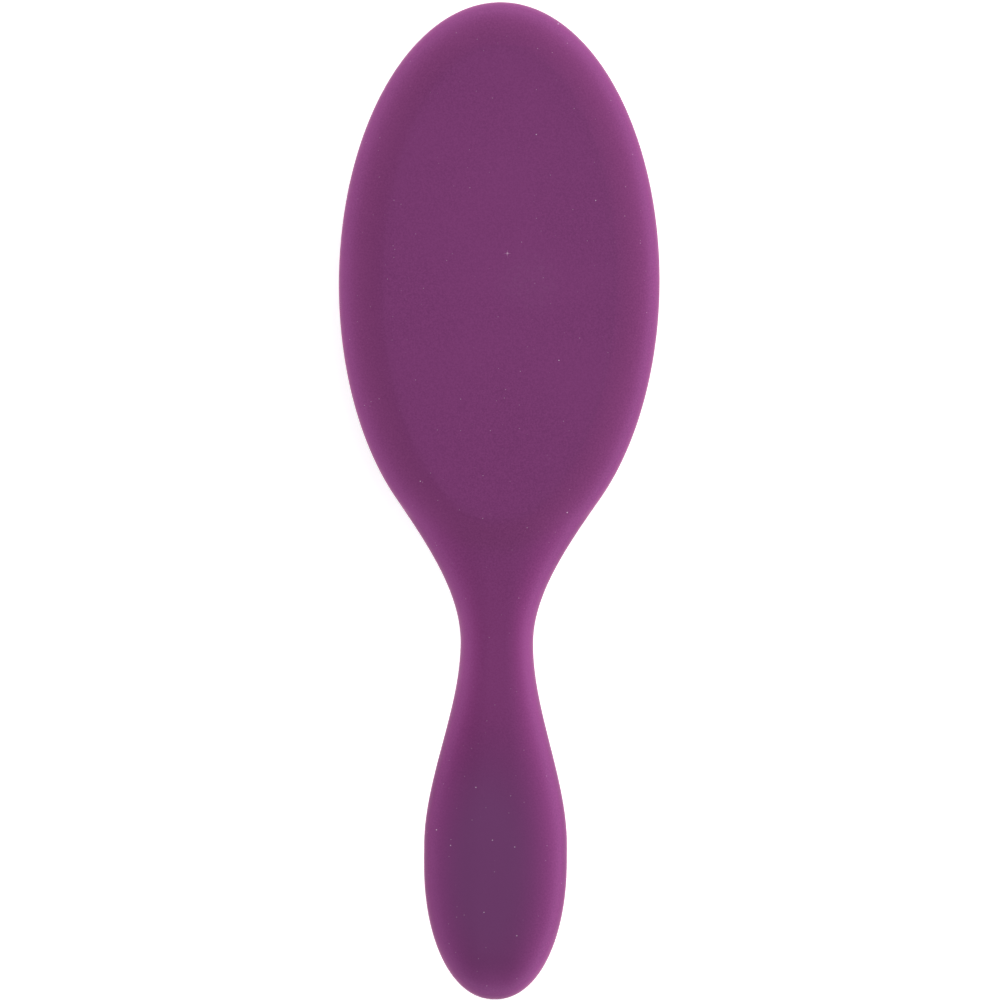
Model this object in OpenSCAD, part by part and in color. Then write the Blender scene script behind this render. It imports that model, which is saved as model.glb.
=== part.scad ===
// Oval detangling brush, resting on the ball tips of its pins with its back up.
// X runs across the head, Y from the handle towards the head's end, Z up.
// The origin is on the surface under the tips, at the middle of the brush's length and width.
// A distance "along" the brush is measured from the head's end. Sizes are in millimetres.

/* [Outline] */
// Width of the head
head_w = 72.4; // [68:0.2:76]
// Length of the head's oval, as if the neck didn't cut into it
head_len = 126.4; // [116:0.2:134]
// Width of the neck
neck_w = 16.4; // [15:0.2:20]
// Length from that oval's end to the narrowest place of the neck
neck_run = 18.1; // [14:0.1:24]
// Length of the flare from the neck to the handle's full width
flare_len = 45.8; // [38:0.2:56]
// Width of the handle
handle_w = 32.3; // [28:0.1:36]
// Length of the handle at its full width
grip_len = 3.5; // [0:0.5:20]
// Length of the handle's rounded end
end_len = 31.2; // [26:0.2:36]

/* [Casing] */
// Wall of both shells
wall = 2; // [1.6:0.1:2.4]
// Height of the back's flat field over the joint of the shells
field_rise = 8.5; // [7:0.1:10]
// Width of the border around the back's flat field
border_w = 10.3; // [8:0.1:13]
// Height of the back over the joint at the neck
neck_rise = 7; // [6:0.1:8]
// Height of the back over the joint along the handle
handle_rise = 7.8; // [6:0.1:8.5]
// Depth of the rim's face under the joint
rim_drop = 6; // [5:0.1:7]
// Width of the rim around the cushion, seen from the front
rim_w = 6.5; // [6:0.1:7.5]
// Radius that rounds the rim's outer edge
rim_roll = 3; // [2.6:0.1:3.6]
// Depth of the front under the joint at the neck
neck_drop = 5.8; // [5:0.1:7]
// Depth of the front under the joint along the handle
handle_drop = 7; // [5.5:0.1:8]
// Length over which the handle's end rounds down to the joint
end_roll = 11; // [8:0.5:14]

/* [Cushion] */
// How far the cushion bulges out of the rim
bulge = 4.5; // [3.5:0.1:5.5]
// Thickness of the flat web that holds the pins
web_t = 1.6; // [1.4:0.1:2]
// Thickness of the cushion's rolled wall
cushion_wall = 1.4; // [1.2:0.1:1.6]
// Length of the roll from the cushion's wall to its web, across the head
shoulder_run = 3.2; // [2.6:0.1:3.6]
// Length of the same roll, up and down
shoulder_rise = 4; // [3:0.1:4.2]
// Thickness of the flange that is clamped in the rim
flange_t = 1.4; // [1:0.1:1.6]
// Diameter of the hole that lets air out of the cushion
vent_d = 1.4; // [1:0.1:1.6]

/* [Retainer] */
// Thickness of the ring that clamps the flange
retainer_t = 1.8; // [1.4:0.1:2.2]
// Number of pegs that hold the ring to the rim
peg_count = 12; // [8:2:16]
// Diameter of a peg
peg_d = 1.4; // [1.2:0.1:1.6]
// Diameter of a post that presses the ring from above
clamp_post_d = 1.8; // [1.4:0.1:2]

/* [Pins] */
// Length of a pin outside the cushion
pin_reach = 17; // [14:0.5:19]
// Diameter of a pin
pin_d = 1; // [0.8:0.05:1.1]
// Diameter of the ball at a pin's tip
ball_d = 1.6; // [1.4:0.05:1.7]
// Diameter of the head that holds a pin in the web
pin_head_d = 1.7; // [1.5:0.05:1.8]
// Thickness of that head
pin_head_t = 0.6; // [0.4:0.05:0.8]
// Distance between rows of pins, across the head
row_step = 3.4; // [3.3:0.1:3.8]
// Distance between the pins of one row, along the head
pin_step = 3.9; // [3.8:0.1:4.4]

/* [Locating posts] */
// Diameter of the posts that line the shells up in the handle
post_d = 3; // [2.4:0.1:3.4]
// Wall of a socket
socket_wall = 1.4; // [1.2:0.1:1.8]

/* [Hidden] */
// Clearances
post_gap = 0.05;
post_end_gap = 0.4;
peg_gap = 0.05;
flange_edge_gap = 0.5;
flange_hole_gap = 0.25;
cushion_gap = 0.3;
pin_gap = 0.1;
pin_seat_gap = 0.05;
pin_edge_gap = 0.25;
// How far a cut runs past the solid
over = 1;
// The narrow ends of the skins, which keep their last stations from closing to a point
tip_half = 1.2;
tip_rise = 0.8;
ridge_half = 0.3;
// Share of the oval's half length at which the neck's curve leaves it
leave_share = 0.77;
// Share of the handle's half width that is flat on top and underneath
handle_flat_share = 0.2;
// How far under the flat field the neck's arch runs into the head, and how far before the field's end
// it starts to fall
arch_drop = 0.45;
arch_lead = 6;
// Powers of the rounded sections, where 2 is an ellipse and more is squarer, of the border's fall, where
// less starts more quickly, of its edge, where more is tighter, and of the merge of dome and arch
oval_power = 2;
fall_power = 1.5;
edge_power = 3;
merge_power = 20;
handle_power = 2.35;
end_power = 2.12;
// Steps of the skins
start_steps = 4;
border_steps = 4;
field_steps = 20;
rim_steps = 4;
neck_steps = 6;
flare_steps = 9;
end_steps = 10;
across_steps = 8;
oval_steps = 60;
roll_steps = 5;
round_sides = 32;
pin_sides = 20;

// Levels
web_z = pin_reach;
web_top = web_z + web_t;
rim_z = web_z + bulge;
joint_z = rim_z + rim_drop;
ledge_z = rim_z + wall;
flange_top = ledge_z + flange_t;
retainer_top = flange_top + retainer_t;

// Places along the brush
head_mid = head_len/2;
field_end = head_len - border_w;
rim_end = head_len - rim_roll;
neck_at = head_len + neck_run;
end_at = neck_at + flare_len + grip_len;
brush_len = end_at + end_len;
head_y = brush_len/2 - head_mid;

// Insets of the ovals from the head's own oval
flange_inset = rim_roll + flange_edge_gap;
ring_inset = (flange_inset + rim_w)/2;
cushion_inset = rim_w + cushion_gap;
web_inset = cushion_inset + shoulder_run;
pin_inset = web_inset + pin_head_d/2 + pin_edge_gap;

// Places of the locating posts, as shares of the way from the head's oval to the handle's end
post_shares = [0.06, 0.4, 0.68, 0.87];
post_places = [for (share = post_shares) head_len + share*(brush_len - head_len)];

// Rows of pins
rows_aside = floor((head_w/2 - pin_inset)/row_step);
pin_rows = 2*rows_aside + 1;

plum = [0.47, 0.24, 0.44];
dark_plum = [0.3, 0.14, 0.28];
natural = [0.85, 0.84, 0.8];

function row_name(r) = str("pin_row_", r < 10 ? "0" : "", r);

// Blends
function between(low, high, share) = low + (high - low)*share;
function held(share) = min(max(share, 0), 1);
function ease(share) = let (s = held(share)) s*s*(3 - 2*s);
function rounded(share, power) = pow(1 - pow(held(share), power), 1/power);

// Half widths of the outline, for a skin that lies inset from the outer one
function leave_at(inset) = head_mid + leave_share*(head_mid - inset);

function oval_half(along, inset) =
    (head_w/2 - inset)*rounded(abs(along - head_mid)/(head_mid - inset), oval_power);

function neck_half(along, inset) =
    let (
        run = neck_at - leave_at(inset),
        s = (along - leave_at(inset))/run,
        leave_rest = sqrt(1 - leave_share*leave_share),
        half = (head_w/2 - inset)*leave_rest,
        slope = -(head_w/2 - inset)/(head_mid - inset)*leave_share/leave_rest
    )
    between(half, neck_w/2 - inset, ease(s)) + run*slope*s*(1 - s)*(1 - s);

function handle_half(along, inset) =
    between(neck_w/2, handle_w/2, ease((along - neck_at)/flare_len)) - inset;

function end_half(along, inset) =
    (handle_w/2 - inset)*rounded((along - end_at)/(end_len - inset), end_power);

function outline_half(along, inset) =
    along < leave_at(inset) ? oval_half(along, inset)
    : along < neck_at ? neck_half(along, inset)
    : along < end_at ? handle_half(along, inset)
    : end_half(along, inset);

function skin_half(along, inset) = max(tip_half, outline_half(along, inset));

// Stations of a skin, closer together towards its round ends and towards both ends of the field
function stations(inset) = concat(
    [for (i = [0 : start_steps - 1]) between(inset, rim_roll, 1 - cos(90*i/start_steps))],
    [for (i = [0 : border_steps - 1]) between(rim_roll, border_w, 1 - cos(90*i/border_steps))],
    [for (i = [0 : field_steps]) head_mid - (head_mid - border_w)*cos(180*i/field_steps)],
    [for (i = [1 : rim_steps]) between(field_end, rim_end, i/rim_steps)],
    [for (i = [1 : neck_steps]) between(rim_end, neck_at, i/neck_steps)],
    [for (i = [1 : flare_steps]) between(neck_at, end_at, i/flare_steps)],
    [for (i = [1 : end_steps]) end_at + (end_len - inset)*sin(90*i/end_steps)]
);

// Share of the way from the head's form to the handle's form
function back_fade(along) = ease((along - field_end)/(neck_at - field_end));
function front_fade(along) = ease((along - rim_end)/(neck_at - rim_end));

// Share of its height that a skin keeps in the handle's rounded end
function end_round(along, inset) =
    rounded((along - brush_len + end_roll)/(end_roll - inset), oval_power);

// A size that grows from the neck to the handle
function swell(along, neck, handle) = between(neck, handle, ease((along - neck_at)/flare_len));

// How far a place lies from the oval drawn in by border (0) to the one drawn in by inset (1)
function oval_size(x, along, inset) =
    norm([x/(head_w/2 - inset), (along - head_mid)/(head_mid - inset)]);

function oval_share(x, along, inset, border) =
    let (
        inner = oval_size(x, along, border),
        outer = oval_size(x, along, inset)
    )
    outer*(inner - 1)/(inner - outer);

// Height over the joint of the middle of the arch that runs from under the head down the handle
function arch_mid(along, inset) =
    let (
        from = field_end - arch_lead,
        fall = ease((along - from)/(neck_at - from)),
        rise = along < neck_at ? between(field_rise - arch_drop, neck_rise, fall)
            : swell(along, neck_rise, handle_rise)
    )
    (rise - inset)*ease((along - head_mid)/(field_end - head_mid))*end_round(along, inset);

// Height of the back over the joint: the head's dome with its flat field, merged with the arch
function back_height(x, along, inset) =
    let (
        top = field_rise - inset,
        share = held(oval_share(x, along, inset, border_w)),
        dome = top*pow(1 - pow(share, fall_power), 1/edge_power),
        flat = handle_flat_share*outline_half(along, 0),
        across = (abs(x) - flat)/(skin_half(along, inset) - flat),
        arch = arch_mid(along, inset)*rounded(across, handle_power)
    )
    min(top, pow(pow(dome, merge_power) + pow(arch, merge_power), 1/merge_power));

// Depth of the front's middle line under the joint
function front_mid(along, inset) =
    along < neck_at ? between(rim_drop, neck_drop, front_fade(along)) - inset
    : (swell(along, neck_drop, handle_drop) - inset)*end_round(along, inset);

// Depth of the front under the joint
function front_depth(x, along, inset) =
    let (
        flat = front_flat(along),
        across = along < head_mid ? oval_share(x, along, inset, rim_roll)
            : (abs(x) - flat)/(skin_half(along, inset) - flat)
    )
    front_mid(along, inset)*rounded(across, between(oval_power, handle_power, front_fade(along)));

// Half width of the flat stretch in a section
function back_flat(along) = max(ridge_half,
    oval_half(along, border_w),
    handle_flat_share*outline_half(along, 0)*back_fade(along));

function front_flat(along) = max(ridge_half,
    between(outline_half(along, rim_roll), handle_flat_share*outline_half(along, 0),
        front_fade(along)));

// Height of a skin at step k from the flat stretch to the joint, which it meets exactly
function height_at(x, k, along, inset, side) =
    let (tip = tip_rise*rounded(k/across_steps, oval_power))
    k == across_steps ? 0
    : max(tip, side > 0 ? back_height(x, along, inset) : front_depth(x, along, inset));

// Points across one station, from the left edge over the middle to the right edge
function section(along, flat, inset, side) =
    let (
        half = skin_half(along, inset),
        edge = [for (k = [0 : across_steps])
            let (x = between(flat, half, sin(90*k/across_steps)))
            [x, joint_z + side*height_at(x, k, along, inset, side)]]
    )
    concat(
        [for (k = [across_steps : -1 : 0]) [-edge[k].x, brush_len/2 - along, edge[k].y]],
        [for (k = [0 : across_steps]) [edge[k].x, brush_len/2 - along, edge[k].y]]
    );

function back_skin(inset) = [for (along = stations(inset)) each
    section(along, back_flat(along), inset, 1)];

function front_skin(inset) = [for (along = stations(inset)) each
    section(along, front_flat(along), inset, -1)];

function turned(list) = [for (i = [len(list) - 1 : -1 : 0]) list[i]];

// A half shell between an outer and an inner skin, open at the joint.
// side is 1 for the half above the joint and -1 for the half under it.
module half_shell(outer, inner, side) {
    across = 2*across_steps + 2;
    last = len(outer)/across - 1;
    function at(skin, j, k) = (skin*(last + 1) + j)*across + k;
    outside = [for (j = [0 : last - 1]) for (k = [0 : across - 2]) each [
        [at(0, j, k), at(0, j, k + 1), at(0, j + 1, k + 1)],
        [at(0, j, k), at(0, j + 1, k + 1), at(0, j + 1, k)]
    ]];
    inside = [for (j = [0 : last - 1]) for (k = [0 : across - 2]) each [
        [at(1, j, k), at(1, j + 1, k + 1), at(1, j, k + 1)],
        [at(1, j, k), at(1, j + 1, k), at(1, j + 1, k + 1)]
    ]];
    edge = [for (j = [0 : last - 1]) each [
        [at(0, j, 0), at(0, j + 1, 0), at(1, j + 1, 0), at(1, j, 0)],
        [at(0, j, across - 1), at(1, j, across - 1),
            at(1, j + 1, across - 1), at(0, j + 1, across - 1)]
    ]];
    ends = [
        [for (k = [across - 1 : -1 : 0]) at(0, 0, k)],
        [for (k = [0 : across - 1]) at(0, last, k)],
        [for (k = [0 : across - 1]) at(1, 0, k)],
        [for (k = [across - 1 : -1 : 0]) at(1, last, k)],
        [at(0, 0, across - 1), at(0, 0, 0), at(1, 0, 0), at(1, 0, across - 1)],
        [at(0, last, 0), at(0, last, across - 1), at(1, last, across - 1), at(1, last, 0)]
    ];
    faces = concat(outside, inside, edge, ends);
    polyhedron(concat(outer, inner), side > 0 ? faces : [for (f = faces) turned(f)]);
}

// Corners of an oval that lies inset from the head's own oval, about the head's centre
function oval_point(inset, i, steps) = [
    (head_w/2 - inset)*cos(360*i/steps),
    (head_mid - inset)*sin(360*i/steps)
];

module oval_area(inset) {
    polygon([for (i = [0 : oval_steps - 1]) oval_point(inset, i, oval_steps)]);
}

// Places of the pegs in the rim, and with a turn of half a step the places between them
module at_pegs(half_turn) {
    for (i = [0 : peg_count - 1]) {
        place = oval_point(ring_inset, i + half_turn, peg_count);
        translate([place.x, head_y + place.y, 0]) children();
    }
}

// The back of the head and handle, with the posts that line the shells up and clamp the ring
module back_shell() {
    color(plum) {
        half_shell(back_skin(0), back_skin(wall), 1);
        for (along = post_places) {
            top = joint_z + back_height(0, along, 0) - wall/2;
            reach = post_reach(along);
            translate([0, brush_len/2 - along, joint_z - reach])
                cylinder(d = post_d, h = top - joint_z + reach, $fn = round_sides);
        }
        for (i = [0 : peg_count - 1]) {
            place = oval_point(ring_inset, i + 1/2, peg_count);
            along = head_mid - place.y;
            rise = (back_height(place.x, along, 0) + back_height(place.x, along, wall))/2;
            translate([place.x, head_y + place.y, retainer_top])
                cylinder(d = clamp_post_d, h = joint_z + rise - retainer_top, $fn = round_sides);
        }
    }
}

// The rim around the cushion and the front of the handle, with pegs and sockets
module front_shell() {
    color(plum) {
        difference() {
            half_shell(front_skin(0), front_skin(wall), -1);
            translate([0, head_y, rim_z - over])
                linear_extrude(wall + 2*over) oval_area(rim_w);
        }
        at_pegs(0)
            translate([0, 0, ledge_z - wall/2])
                cylinder(d = peg_d, h = retainer_top - ledge_z + wall/2, $fn = round_sides);
        for (along = post_places) socket(along);
    }
}

// How far a locating post reaches under the joint, to just over the front's inner side
function post_reach(along) = front_mid(along, wall) - post_end_gap;

// A tube that stands on the front's inner side and takes one locating post
module socket(along) {
    floor_z = joint_z - front_mid(along, 0) + wall/2;
    translate([0, brush_len/2 - along, 0])
        difference() {
            translate([0, 0, floor_z])
                cylinder(d = post_d + 2*post_gap + 2*socket_wall, h = joint_z - post_gap - floor_z,
                    $fn = round_sides);
            translate([0, 0, joint_z - post_reach(along) - post_gap])
                cylinder(d = post_d + 2*post_gap, h = post_reach(along) + over,
                    $fn = round_sides);
        }
}

// The ring that clamps the cushion's flange on the rim's ledge
module cushion_retainer() {
    color(natural)
        difference() {
            translate([0, head_y, flange_top])
                linear_extrude(retainer_t)
                    difference() {
                        oval_area(flange_inset);
                        oval_area(rim_w);
                    }
            at_pegs(0)
                translate([0, 0, flange_top - over])
                    cylinder(d = peg_d + 2*peg_gap, h = retainer_t + 2*over, $fn = round_sides);
        }
}

// Insets and heights of the cushion's skin: out from the web, around the flange and back inside
function cushion_rings() = concat(
    [for (k = [0 : roll_steps])
        [
            web_inset - shoulder_run*sin(90*k/roll_steps),
            web_z + shoulder_rise*(1 - cos(90*k/roll_steps))
        ]],
    [
        [cushion_inset, ledge_z],
        [flange_inset, ledge_z],
        [flange_inset, flange_top],
        [cushion_inset + cushion_wall, flange_top]
    ],
    [for (k = [roll_steps : -1 : 0])
        [
            web_inset - (shoulder_run - cushion_wall)*sin(90*k/roll_steps),
            web_z + shoulder_rise - (shoulder_rise - web_t)*cos(90*k/roll_steps)
        ]]
);

module cushion_skin() {
    rings = cushion_rings();
    n = oval_steps;
    points = [for (ring = rings) for (i = [0 : n - 1])
        let (p = oval_point(ring.x, i, n)) [p.x, head_y + p.y, ring.y]];
    sides = [for (r = [0 : len(rings) - 2]) for (i = [0 : n - 1])
        let (next = (i + 1)%n) each [
            [r*n + i, (r + 1)*n + i, (r + 1)*n + next],
            [r*n + i, (r + 1)*n + next, r*n + next]
        ]];
    web = [for (i = [0 : n - 1]) i];
    web_inside = [for (i = [n - 1 : -1 : 0]) (len(rings) - 1)*n + i];
    polyhedron(points, concat(sides, [web, web_inside]));
}

// The rubber cushion: a flat web on a rolled wall, with a hole for each pin and each peg
module cushion() {
    color(dark_plum)
        difference() {
            cushion_skin();
            for (r = [1 : pin_rows]) at_pins(r)
                translate([0, 0, web_z - over])
                    cylinder(d = pin_d + 2*pin_gap, h = web_t + 2*over, $fn = pin_sides);
            at_pegs(0)
                translate([0, 0, ledge_z - over])
                    cylinder(d = peg_d + 2*flange_hole_gap, h = flange_t + 2*over,
                        $fn = round_sides);
            translate([row_step/3, head_y + pin_step/2, web_z - over])
                cylinder(d = vent_d, h = web_t + 2*over, $fn = round_sides);
        }
}

// Places of the pins in one row, every second row shifted by half a step
function row_x(r) = (r - 1 - rows_aside)*row_step;

function row_ys(r) =
    let (
        shift = abs(r - 1 - rows_aside)%2*pin_step/2,
        reach = (head_mid - pin_inset)*rounded(abs(row_x(r))/(head_w/2 - pin_inset), oval_power),
        most = ceil(head_mid/pin_step)
    )
    [for (k = [-most : most])
        let (y = shift + k*pin_step)
        if (abs(y) <= max(reach, pin_step/2)) y];

module at_pins(r) {
    for (y = row_ys(r)) translate([row_x(r), head_y + y, 0]) children();
}

// One nylon pin, from its ball tip on the ground to its head inside the cushion
module pin() {
    head_z = web_top + pin_seat_gap;
    translate([0, 0, ball_d/2]) sphere(d = ball_d, $fn = pin_sides);
    translate([0, 0, ball_d/2])
        cylinder(d = pin_d, h = head_z + pin_head_t - ball_d/2, $fn = pin_sides);
    translate([0, 0, head_z]) cylinder(d = pin_head_d, h = pin_head_t, $fn = pin_sides);
}

module pin_row(r) {
    color(plum) at_pins(r) pin();
}

back_shell();
front_shell();
cushion_retainer();
cushion();
for (r = [1 : pin_rows]) {
    pin_row(r);
}
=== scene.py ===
import math

import bmesh
import bpy
import numpy as np
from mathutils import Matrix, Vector


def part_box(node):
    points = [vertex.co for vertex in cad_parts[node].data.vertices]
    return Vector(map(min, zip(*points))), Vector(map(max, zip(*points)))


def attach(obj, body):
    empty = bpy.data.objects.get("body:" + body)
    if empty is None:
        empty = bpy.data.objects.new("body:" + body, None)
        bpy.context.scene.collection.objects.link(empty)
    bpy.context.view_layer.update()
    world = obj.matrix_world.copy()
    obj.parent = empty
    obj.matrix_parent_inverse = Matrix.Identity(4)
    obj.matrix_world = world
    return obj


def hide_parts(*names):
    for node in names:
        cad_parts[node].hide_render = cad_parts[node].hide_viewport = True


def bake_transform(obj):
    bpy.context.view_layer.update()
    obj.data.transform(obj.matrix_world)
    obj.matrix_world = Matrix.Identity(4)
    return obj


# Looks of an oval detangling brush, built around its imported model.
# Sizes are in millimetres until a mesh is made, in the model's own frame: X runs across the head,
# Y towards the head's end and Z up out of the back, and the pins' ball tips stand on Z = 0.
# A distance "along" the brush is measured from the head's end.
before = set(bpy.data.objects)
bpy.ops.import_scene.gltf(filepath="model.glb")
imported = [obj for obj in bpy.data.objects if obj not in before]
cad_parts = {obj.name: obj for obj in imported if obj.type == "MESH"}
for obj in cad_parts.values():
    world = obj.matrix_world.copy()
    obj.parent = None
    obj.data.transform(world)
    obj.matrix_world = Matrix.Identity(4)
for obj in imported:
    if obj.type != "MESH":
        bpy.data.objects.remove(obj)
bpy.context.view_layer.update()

MM = 0.001


def box_mm(node):
    """Lowest and highest corner of a node, in millimetres."""
    return [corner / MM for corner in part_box(node)]


BACK_LOW, BACK_HIGH = box_mm("back_shell")
CUSHION_LOW, CUSHION_HIGH = box_mm("cushion")
JOINT_Z = box_mm("front_shell")[1].z
RING_TOP = box_mm("cushion_retainer")[1].z

# Outline. The neck's curve leaves the head's oval at LEAVE_SHARE of its half length.
BRUSH_LEN = BACK_HIGH.y - BACK_LOW.y
HEAD_W = BACK_HIGH.x - BACK_LOW.x
HEAD_LEN = 126.4
NECK_W = 16.4
NECK_RUN = 18.1
FLARE_LEN = 45.8
HANDLE_W = 32.3
END_LEN = 31.2
HEAD_MID = HEAD_LEN / 2
NECK_AT = HEAD_LEN + NECK_RUN
END_AT = BRUSH_LEN - END_LEN
HEAD_Y = BRUSH_LEN / 2 - HEAD_MID
LEAVE_SHARE = 0.77
END_POWER = 2.12

# Casing. A rise is a height of the back over the joint, and a drop a depth of the front under it.
# A power of 2 makes a round section, and a higher one a squarer section.
WALL = 2.0
BORDER_W = 10.3
NECK_RISE = 7.0
HANDLE_RISE = 7.8
RIM_W = 6.5
RIM_ROLL = 3.0
NECK_DROP = 5.8
HANDLE_DROP = 7.0
END_ROLL = 11.0
FIELD_RISE = BACK_HIGH.z - JOINT_Z
FIELD_END = HEAD_LEN - BORDER_W
RIM_END = HEAD_LEN - RIM_ROLL
HANDLE_FLAT_SHARE = 0.2
FALL_POWER = 1.5
EDGE_POWER = 3
MERGE_POWER = 20
ARCH_DROP = 0.45
ARCH_LEAD = 6.0
ARCH_FROM = FIELD_END - ARCH_LEAD
HANDLE_POWER = 2.35
JOINT_LIP = 0.28
JOINT_LIP_MOST_SHARE = 0.3
OPENING_LIP = 0.7

# The gate mark on the back: a pit with a nub in its middle, and a star of two scratches
GATE_MARK = (1.8, 55.5)
GATE_PIT_D = 0.9
GATE_NUB_D = 0.34
GATE_DEPTH = 0.04
GATE_WALL_SHARE = 1.3
GATE_NUB_SHARES = (0.2, 0.3)
GATE_RAY = (1.0, 0.1)

# Cushion
CUSHION_GAP = 0.3
CUSHION_WALL = 1.4
SHOULDER_RUN = 3.2
SHOULDER_RISE = 4.0
WEB_T = 1.6
FLANGE_T = 1.4
VENT_D = 1.4
WEB_Z = CUSHION_LOW.z
WEB_TOP = WEB_Z + WEB_T
FLANGE_TOP = CUSHION_HIGH.z
LEDGE_Z = FLANGE_TOP - FLANGE_T
RIM_Z = LEDGE_Z - WALL
RIM_DROP = JOINT_Z - RIM_Z
FLANGE_INSET = HEAD_W / 2 - CUSHION_HIGH.x
CUSHION_INSET = RIM_W + CUSHION_GAP
WEB_INSET = CUSHION_INSET + SHOULDER_RUN

# Pegs, posts and pins
RING_INSET = (FLANGE_INSET + RIM_W) / 2
PEG_COUNT = 12
PEG_D = 1.4
CLAMP_POST_D = 1.8
POST_D = 3.0
POST_SHARES = (0.06, 0.4, 0.68, 0.87)
POST_GAP = 0.05
POST_END_GAP = 0.4
SOCKET_WALL = 1.4
FLANGE_HOLE_GAP = 0.25
PIN_D = 1.0
PIN_GAP = 0.1
PIN_TILT_DEG = 12
PIN_HEAD_D = 1.7
PIN_SEAT_GAP = 0.05
SEAT_ROOM = 0.06
BALL_D = 1.6
ROW_STEP = 3.4
PIN_STEP = 3.9
VENT_PLACE = (ROW_STEP / 3, HEAD_Y + PIN_STEP / 2)

# The rounded mouth of a pin's hole: its size, and as shares of it its points outwards and upwards
# and the height where it ends
HOLE_LIP = 0.22
HOLE_LIP_SHARES = ((2, 0), (0.8, 0.25), (0.2, 0.7))
HOLE_LIP_END_SHARE = 1.4

# How far a cutting shape runs past what it cuts, and the smallest numbers that are divided by
OVER = 1.0
LEAST_WIDTH = 1e-6
LEAST_SIZE = 1e-9

# Smallest distances between points of a mesh, and the greatest height of a point that counts as
# standing on Z = 0, in metres
JOIN_GAP = 1e-7
LEAST_EDGE = 1e-8
GROUND = 1e-6

# Steps of the skins and sides of round and oval pieces
START_STEPS = 9
BORDER_STEPS = 9
FIELD_STEPS = 90
RIM_STEPS = 10
NECK_STEPS = 28
FLARE_STEPS = 46
END_STEPS = 30
FLAT_STEPS = 12
CURVE_STEPS = 28
TRACE_STEPS = 300
LIP_STEPS = 3
ROLL_STEPS = 14
GATE_STEPS = 6
OVAL_SIDES = 200
POST_SIDES = 32
HOLE_SIDES = 24
PIN_HOLE_SIDES = 20
SHARP_DEG = 40


def between(low, high, share):
    """The value at a share of the way from low to high."""
    return low + (high - low) * share


def ease(share):
    """A share eased at both ends."""
    s = np.clip(share, 0, 1)
    return s * s * (3 - 2 * s)


def rounded(share, power):
    """What is left of a height at a share of the way to its rounded edge."""
    return (1 - np.clip(share, 0, 1) ** power) ** (1 / power)


def oval_half(along, inset):
    """Half width of the head's oval, drawn in by inset."""
    return (HEAD_W / 2 - inset) * rounded(np.abs(along - HEAD_MID) / (HEAD_MID - inset), 2)


def outline_half(along, inset):
    """Half width of the whole outline, drawn in by inset."""
    leave = HEAD_MID + LEAVE_SHARE * (HEAD_MID - inset)
    rest = math.sqrt(1 - LEAVE_SHARE ** 2)
    slope = -(HEAD_W / 2 - inset) / (HEAD_MID - inset) * LEAVE_SHARE / rest
    run = NECK_AT - leave
    s = (along - leave) / run
    neck = between((HEAD_W / 2 - inset) * rest, NECK_W / 2 - inset, ease(s))
    neck = neck + run * slope * s * (1 - s) ** 2
    handle = between(NECK_W / 2, HANDLE_W / 2, ease((along - NECK_AT) / FLARE_LEN)) - inset
    end = (HANDLE_W / 2 - inset) * rounded((along - END_AT) / (END_LEN - inset), END_POWER)
    places = [along < leave, along < NECK_AT, along < END_AT]
    return np.select(places, [oval_half(along, inset), neck, handle], end)


def end_round(along, inset):
    """Share of its height that a skin keeps in the handle's rounded end."""
    return rounded((along - BRUSH_LEN + END_ROLL) / (END_ROLL - inset), 2)


def oval_share(x, along, inset, border):
    """How far a place lies from the oval drawn in by border (0) to that drawn in by inset (1)."""
    def size(drawn_in):
        """The place's distance from the middle as a share of the oval drawn in by that much."""
        across = x / (HEAD_W / 2 - drawn_in)
        return np.hypot(across, (along - HEAD_MID) / (HEAD_MID - drawn_in))

    inner, outer = size(border), size(inset)
    return (inner - 1) * outer / np.maximum(inner - outer, LEAST_SIZE)


def swell(along, neck, handle):
    """A size that grows from the neck to the handle."""
    return between(neck, handle, ease((along - NECK_AT) / FLARE_LEN))


def back_flat(along):
    """Half width of the back's flat top: the oval field, then a strip down the handle."""
    fade = ease((along - FIELD_END) / (NECK_AT - FIELD_END))
    return np.maximum(oval_half(along, BORDER_W), HANDLE_FLAT_SHARE * outline_half(along, 0) * fade)


def back_height(x, along, inset):
    """Height of the back over the joint: the head's dome with its flat field, run into the
    arched neck."""
    top = FIELD_RISE - inset
    share = np.clip(oval_share(x, along, inset, BORDER_W), 0, 1)
    dome = top * (1 - share ** FALL_POWER) ** (1 / EDGE_POWER)
    fallen = ease((along - ARCH_FROM) / (NECK_AT - ARCH_FROM))
    fall = between(FIELD_RISE - ARCH_DROP, NECK_RISE, fallen)
    mid = np.where(along < NECK_AT, fall, swell(along, NECK_RISE, HANDLE_RISE)) - inset
    mid = mid * ease((along - HEAD_MID) / (FIELD_END - HEAD_MID)) * end_round(along, inset)
    half, flat = outline_half(along, inset), HANDLE_FLAT_SHARE * outline_half(along, 0)
    arch = mid * rounded((np.abs(x) - flat) / np.maximum(half - flat, LEAST_WIDTH), HANDLE_POWER)
    return np.minimum((dome ** MERGE_POWER + arch ** MERGE_POWER) ** (1 / MERGE_POWER), top)


def front_flat(along):
    """Half width of the front's flat face: the rim, then a strip down the handle."""
    fade = ease((along - RIM_END) / (NECK_AT - RIM_END))
    return between(outline_half(along, RIM_ROLL), HANDLE_FLAT_SHARE * outline_half(along, 0), fade)


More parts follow.
